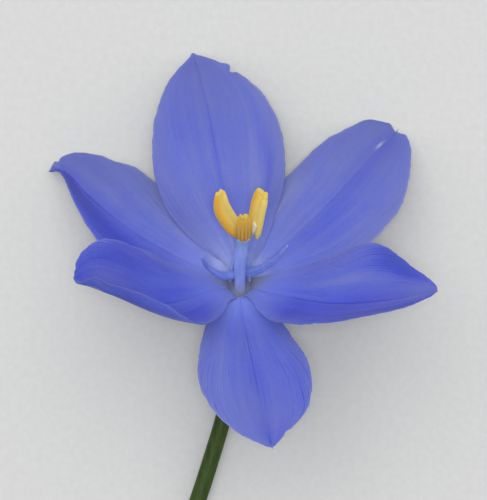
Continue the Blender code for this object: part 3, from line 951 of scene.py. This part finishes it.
class Recipe:
    """A material, made node by node. A socket or a plain value can stand for any input."""

    def __init__(self, name, **constants):
        self.material = bpy.data.materials.new(name)
        self.material.use_nodes = True
        self.tree = self.material.node_tree
        self.shader = self.tree.nodes["Principled BSDF"]
        for socket, value in constants.items():
            self.shader.inputs[socket.replace("_", " ")].default_value = value

    def feed(self, socket, value):
        if isinstance(value, bpy.types.NodeSocket):
            self.tree.links.new(value, socket)
        else:
            socket.default_value = value

    def add(self, kind, inputs, **settings):
        made = self.tree.nodes.new(kind)
        for setting, value in settings.items():
            setattr(made, setting, value)
        for key, value in inputs.items():
            self.feed(made.inputs[key], value)
        return made

    def own(self, name):
        """A value painted on the piece."""
        return self.add("ShaderNodeAttribute", {}, attribute_name=name).outputs["Fac"]

    def maths(self, operation, a, b=0, c=0):
        return self.add("ShaderNodeMath", {0: a, 1: b, 2: c}, operation=operation).outputs[0]

    def size(self, value):
        return self.maths("ABSOLUTE", value)

    def times(self, a, b):
        return self.maths("MULTIPLY", a, b)

    def scaled(self, value, share, rest):
        """A share of a value, added to the rest."""
        return self.maths("MULTIPLY_ADD", value, share, rest)

    def vary(self, tone, noise, share):
        """The tone, moved up and down by a share of a noise."""
        return self.scaled(self.maths("SUBTRACT", noise, 0.5), share, tone)

    def grade(self, value, low, high, start=0, end=1):
        """Runs smoothly from start to end as value goes from low to high."""
        inputs = {0: value, 1: low, 2: high, 3: start, 4: end}
        return self.add("ShaderNodeMapRange", inputs, interpolation_type="SMOOTHSTEP").outputs[0]

    def point(self, x, y, z):
        return self.add("ShaderNodeCombineXYZ", {0: x, 1: y, 2: z}).outputs[0]

    def noise(self, place, scale, detail=2, roughness=0.5):
        inputs = {"Vector": place, "Scale": scale, "Detail": detail, "Roughness": roughness}
        return self.add("ShaderNodeTexNoise", inputs).outputs["Fac"]

    def mix(self, share, a, b):
        """A colour share of the way from a to b."""
        a, b = ((*v, 1) if isinstance(v, tuple) else v for v in (a, b))
        return self.add("ShaderNodeMix", {0: share, 6: a, 7: b}, data_type="RGBA").outputs[2]

    def ramp(self, value, *stops):
        """A colour by value, through stops of (place, colour)."""
        made = self.add("ShaderNodeValToRGB", {0: value})
        marks = made.color_ramp.elements
        while len(marks) < len(stops):
            marks.new(0.5)
        for mark, (place, colour) in zip(marks, stops):
            mark.position = place
            mark.color = (*colour, 1)
        return made.outputs[0]

    def bump(self, height, depth, strength=1):
        inputs = {"Height": height, "Distance": depth, "Strength": strength}
        self.feed(self.shader.inputs["Normal"], self.add("ShaderNodeBump", inputs).outputs[0])

    def here(self):
        """The place on the piece, in metres."""
        return self.add("ShaderNodeTexCoord", {}).outputs["Object"]

    def finish(self, colour, roughness):
        self.feed(self.shader.inputs["Base Color"], colour)
        self.feed(self.shader.inputs["Roughness"], roughness)
        return self.material


def tissue(name, scale, sheen=0.1, gloss=0.3, **constants):
    """A recipe for thin living tissue, which lets light through."""
    made = Recipe(name, Subsurface_Weight=0.5, Subsurface_Scale=scale, Specular_IOR_Level=gloss,
                  Sheen_Weight=sheen, Sheen_Roughness=0.5, **constants)
    made.shader.inputs["Subsurface Radius"].default_value = (0.6, 0.65, 1)
    return made


# Tepal colours by tone, from the deepest to the palest. Tones below 0 run into the deepest stop,
# which gives the painted shade.
FACE_STOPS = (
    (0, (0.026, 0.038, 0.33)), (0.33, (0.042, 0.058, 0.46)), (0.56, (0.07, 0.095, 0.5)),
    (0.77, (0.105, 0.133, 0.47)), (1, (0.155, 0.175, 0.45)),
)
REVERSE_STOPS = (
    (0, (0.038, 0.055, 0.32)), (0.4, (0.06, 0.084, 0.43)), (0.7, (0.085, 0.112, 0.44)),
    (1, (0.135, 0.158, 0.43)),
)
VEINS_PER_WING = 17
FINE_VEINS = 2  # for every vein
DEEPEST = 0.33  # where a tone of 0 stands on the way from the deepest blue to the palest
RIM_LIGHT_COLOUR = (0.2, 0.225, 0.5)
SHEEN_GREY = (0.108, 0.124, 0.35)
CLAW_COLOUR = (0.19, 0.215, 0.34)
THROAT_LIGHT = (0.17, 0.22, 0.66)
PALE_THROAT_LIGHT = (0.36, 0.42, 0.85)
GLINT_COLOUR = (0.7, 0.72, 0.78)


def tepal_material(name, stops, vein_share, sheen_greyness):
    """Blue tepal skin: veins that fan out and run off at the margins, long soft streaks that
    are bumped pleats and painted sheen, painted sheen greying it towards the margins and tip,
    a painted highlight along the rim, painted light about the throat, a grey claw and painted
    glints."""
    r = tissue(name, 0.001)
    chart = r.add("ShaderNodeUVMap", {}).outputs[0]
    parts = r.add("ShaderNodeSeparateXYZ", {0: chart})
    across = r.scaled(parts.outputs[0], 2, -1)
    along = parts.outputs[1]
    aside = r.size(across)
    number = r.own("number")
    fan = r.times(across, r.scaled(along, -0.6, 1))

    def drawn_out(wide, long, seed, detail=2):
        """Noise drawn out along the veins."""
        seed = r.maths("ADD", number, seed)
        return r.noise(r.point(r.times(fan, wide), r.times(along, long), seed), 1, detail)

    phase = r.scaled(fan, VEINS_PER_WING, r.times(drawn_out(2.5, 2.5, 0), 1.4))
    wave = r.size(r.maths("SINE", r.times(phase, math.pi)))
    line = r.grade(wave, 0, 0.5, 1, 0)
    reach = r.maths("ADD", r.grade(drawn_out(7, 7, 11), 0.42, 0.76),
                    r.grade(aside, 0.3, 0.8, 0, 0.4))
    veins = r.times(r.times(line, reach), r.own("veined"))
    fine = r.maths("SINE", r.times(phase, math.pi * FINE_VEINS))
    fine = r.times(r.grade(r.size(fine), 0, 0.6, 1, 0),
                   r.times(r.grade(aside, 0.25, 0.7, 0.25, 1),
                           r.grade(along, 0.25, 0.6, 0.2, 1)))
    fine = r.times(fine, r.own("veined"))

    streak = drawn_out(9, 1.6, 5, 3)
    cloud = r.noise(r.here(), 260, 2)
    speck = r.noise(r.here(), 2600, 3, 0.6)
    tone = r.own("tone")
    # The streaks shift the tone as painted sheen over the pleats; the clouds and specks are the
    # skin's own uneven tone.
    for value, share in ((streak, 0.6), (cloud, 0.3), (speck, 0.3)):
        tone = r.vary(tone, value, share)
    tone = r.scaled(veins, -vein_share, tone)
    tone = r.scaled(fine, -0.65 * vein_share, tone)
    colour = r.ramp(r.scaled(tone, 1 - DEEPEST, DEEPEST), *stops)

    # Painted sheen: the skin greys towards its margins and tip, more where it is paler, standing
    # for a grey-lilac reflection over the blue.
    outward = r.maths("MAXIMUM", r.grade(aside, 0.5, 1), r.grade(along, 0.45, 1))
    outward = r.times(outward, r.grade(tone, -0.2, 0.3, 0, sheen_greyness))
    colour = r.mix(outward, colour, SHEEN_GREY)
    # Painted light about the throat, for light through the thin tissue and to lift the shade
    # there; paler still where the tone is raised.
    throat_light = r.mix(r.grade(tone, 0.8, 1.6), THROAT_LIGHT, PALE_THROAT_LIGHT)
    colour = r.mix(r.grade(along, 0.34, 0.08, 0, 0.75), colour, throat_light)
    # Painted highlight: a pale line along the rim and the tip, where light shows through the thin
    # margin.
    hem = r.maths("MAXIMUM", r.grade(aside, 0.96, 0.985), r.grade(along, 0.985, 1))
    hem = r.times(hem, r.grade(along, 0.3, 0.75, 0.04, 0.42))
    hem = r.times(hem, r.grade(tone, 0.2, 0.6, 0.4, 1))
    colour = r.mix(hem, colour, RIM_LIGHT_COLOUR)
    colour = r.mix(r.own("throat"), colour, CLAW_COLOUR)
    # Painted highlight: the glints, mixed towards near white.
    colour = r.mix(r.own("white"), colour, GLINT_COLOUR)

    height = r.scaled(veins, -0.55, r.times(streak, 0.9))
    r.bump(r.scaled(speck, 0.35, height), 0.00009, 0.6)
    return r.finish(colour, r.grade(streak, 0.3, 0.7, 0.62, 0.5))


def spine_material():
    """Blue where it leaves the tepal, whitish at its end, with faint clouds."""
    r = Recipe("tepal_spine")
    cloud = r.noise(r.here(), 4000)
    share = r.vary(r.own("white"), cloud, 0.3)
    return r.finish(r.ramp(share, (0.1, (0.1, 0.125, 0.46)), (0.9, (0.68, 0.7, 0.74))), 0.5)


# Where along the flower's axis a filament's foot, neck and tip run into their colours.
# The foot's colour is its own grey made paler, painted light to lift the shade low in the throat.
FOOT, FOOT_GREY_AND_LIGHT = (1.3, 2.9), (0.31, 0.34, 0.54)
NECK, NECK_COLOUR = (6.4, 7.8), (0.16, 0.27, 0.5)
TIP, TIP_COLOUR = (8, 8.7), (0.74, 0.73, 0.48)


def filament_material():
    """Pale translucent blue with fine fibres: its own greyer foot, made paler there as painted
    light against the throat's shade, deeper at the neck, and whitish yellow where it enters
    the anther."""
    r = tissue("filament_blue", 0.0008)
    fibre = r.noise(r.add("ShaderNodeMapping", {0: r.here(), 3: (2600, 700, 500)}).outputs[0], 1)
    colour = r.ramp(fibre, (0.3, (0.235, 0.305, 0.68)), (0.7, (0.31, 0.39, 0.77)))
    height = r.own("height")
    # Painted light and the foot's own grey, towards the foot.
    colour = r.mix(r.grade(height, *FOOT, 1, 0), colour, FOOT_GREY_AND_LIGHT)
    colour = r.mix(r.grade(height, *NECK, 0, 0.4), colour, NECK_COLOUR)
    colour = r.mix(r.grade(height, *TIP), colour, TIP_COLOUR)
    r.bump(fibre, 0.00005, 0.5)
    return r.finish(colour, 0.45)


def pollen_material(name, groove, edge, crown, top_shade, ridged, bloom):
    """Anther skin dusted with pollen. On the ridged outer face the grooves are dark, and the
    inner face runs from a deep edge to a pale one. The blunt top is deepened to top_shade's
    colour, painted shade against the light that falls on it."""
    r = tissue(name, 0.0004, sheen=bloom, Sheen_Tint=(1, 0.86, 0.6, 1))
    grain = r.noise(r.here(), 9000, 2)
    patch = r.noise(r.here(), 700, 2)
    side = r.own("side")
    height = r.own("height")
    if ridged:
        tone = r.size(r.maths("SINE", r.times(side, math.pi / RIDGE_SPACING)))
        tone = r.maths("MAXIMUM", tone, r.grade(height, 0.3, 0.95, 0, 0.9))
        tone = r.times(tone, r.grade(height, 0, 0.6, 0.5, 1.05))
    else:
        tone = r.grade(side, 0.8, -0.3)
        beside = r.size(r.maths("SUBTRACT", side, GROOVE_ACROSS))
        groove_depth = r.times(r.grade(beside, 0, 0.13, 0.7, 0), r.own("cleft"))
        tone = r.maths("SUBTRACT", tone, groove_depth)
    tone = r.vary(r.vary(tone, patch, 0.5), grain, 0.4)
    colour = r.ramp(tone, (0, groove), (0.5, edge), (1, crown))
    # Painted shade: the top is deepened against the light that falls on it.
    colour = r.mix(r.grade(height, 0.91, 0.98), colour, top_shade)
    r.bump(grain, 0.00005, 0.7)
    return r.finish(colour, 0.75)


def style_material():
    """Clear blue with faint clouds."""
    r = tissue("style_blue", 0.0006)
    cloud = r.noise(r.here(), 1200, 2)
    colour = r.ramp(cloud, (0.3, (0.14, 0.205, 0.6)), (0.7, (0.2, 0.27, 0.7)))
    r.bump(cloud, 0.00004, 0.5)
    return r.finish(colour, 0.4)


def green_material(name, dark, light):
    """Green skin of the ovary and stem: fine pale fibres under a cloudy bloom."""
    r = tissue(name, 0.0006, sheen=0, gloss=0.18)
    fibre = r.noise(r.add("ShaderNodeMapping", {0: r.here(), 3: (3000, 160, 3000)}).outputs[0],
                    1, 3)
    bloom = r.noise(r.here(), 420, 3)
    tone = r.vary(fibre, bloom, 0.8)
    colour = r.ramp(tone, (0.3, dark), (0.75, light))
    r.bump(fibre, 0.00006, 0.7)
    return r.finish(colour, r.grade(bloom, 0.3, 0.7, 0.42, 0.6))


def throat_material():
    """Smooth blue-grey flesh inside the throat."""
    r = tissue("throat_flesh", 0.0008)
    cloud = r.noise(r.here(), 1500, 2)
    colour = r.ramp(cloud, (0.3, (0.12, 0.14, 0.25)), (0.7, (0.16, 0.185, 0.3)))
    r.bump(cloud, 0.00005, 0.5)
    return r.finish(colour, 0.55)


def pith_material():
    """The fresh cut end of the stem: pale green, dotted with darker vessels."""
    r = tissue("stem_pith", 0.0006)
    cells = r.add("ShaderNodeTexVoronoi", {"Vector": r.here(), "Scale": 5200})
    spots = cells.outputs["Distance"]
    colour = r.ramp(spots, (0.15, (0.16, 0.2, 0.07)), (0.5, (0.42, 0.47, 0.24)))
    r.bump(spots, 0.00005, 0.6)
    return r.finish(colour, 0.6)


def paper_material():
    """Plain pale paper for the floor."""
    r = Recipe("pale_paper")
    fibre = r.noise(r.here(), 1500, 3)
    colour = r.ramp(fibre, (0.3, (0.53, 0.53, 0.52)), (0.7, (0.56, 0.56, 0.55)))
    return r.finish(colour, 0.85)


# ---- Setting ----

def add_floor():
    bpy.ops.mesh.primitive_plane_add(size=4, location=(0, 0, 0))
    floor = bpy.context.object
    floor.name = "floor"
    coat(floor, paper_material())


VIEW_CENTRE = Vector((0.35, 3.9, 0))  # from the throat
VIEW_SPAN = 50 * MM  # of the plane through the throat, along the frame's long side


def put(name, what, place):
    made = bpy.data.objects.new(name, what)
    made.location = place
    bpy.context.scene.collection.objects.link(made)
    return made


def add_camera():
    """Looks straight down on the face of the flower."""
    lens, sensor = 200, 36
    camera = bpy.data.cameras.new("camera")
    camera.lens = lens
    camera.sensor_width = sensor
    camera.clip_start = 0.01
    rise = Vector((0, 0, VIEW_SPAN * lens / sensor))
    bpy.context.scene.camera = put("camera", camera, THROAT + VIEW_CENTRE * MM + rise)


def add_light(name, place, size, power):
    """A soft round light, aimed at the origin."""
    lamp = bpy.data.lights.new(name, "AREA")
    lamp.shape = "DISK"
    lamp.size = size
    lamp.energy = power
    aim = Vector() - Vector(place)
    put(name, lamp, place).rotation_euler = aim.to_track_quat("-Z", "Y").to_euler()


def add_studio():
    world = bpy.data.worlds.new("studio")
    bpy.context.scene.world = world
    world.use_nodes = True
    background = world.node_tree.nodes["Background"]
    background.inputs["Color"].default_value = (0.97, 0.98, 1, 1)
    background.inputs["Strength"].default_value = 0.6
    add_light("key", (-0.08, 0.4, 1), size=1.1, power=6.1)
    add_light("fill", (0, 0, 1), size=0.2, power=2.9)
    bpy.context.scene.view_settings.view_transform = "Standard"


def main():
    add_camera()
    add_tepals(
        tepal_material("tepal_face", FACE_STOPS, vein_share=0.19, sheen_greyness=0.6),
        tepal_material("tepal_reverse", REVERSE_STOPS, vein_share=0.22, sheen_greyness=0.15),
        spine_material(),
    )
    add_stamens({
        "filament": filament_material(),
        "anther": pollen_material(
            "pollen_yellow", groove=(0.7, 0.36, 0.02), edge=(0.8, 0.53, 0.07),
            crown=(0.78, 0.63, 0.16), top_shade=(0.64, 0.46, 0.09), ridged=False, bloom=0.3),
        "front_anther": pollen_material(
            "pollen_amber", groove=(0.52, 0.235, 0.016), edge=(0.77, 0.41, 0.035),
            crown=(0.84, 0.5, 0.055), top_shade=(0.55, 0.375, 0.062), ridged=True, bloom=0.05),
    })
    add_style(style_material())
    add_ovary(green_material("ovary_green", (0.025, 0.05, 0.01), (0.06, 0.095, 0.025)),
              throat_material())
    add_stem(green_material("stem_green", (0.024, 0.05, 0.006), (0.05, 0.085, 0.014)),
             pith_material())
    add_floor()
    add_studio()


main()
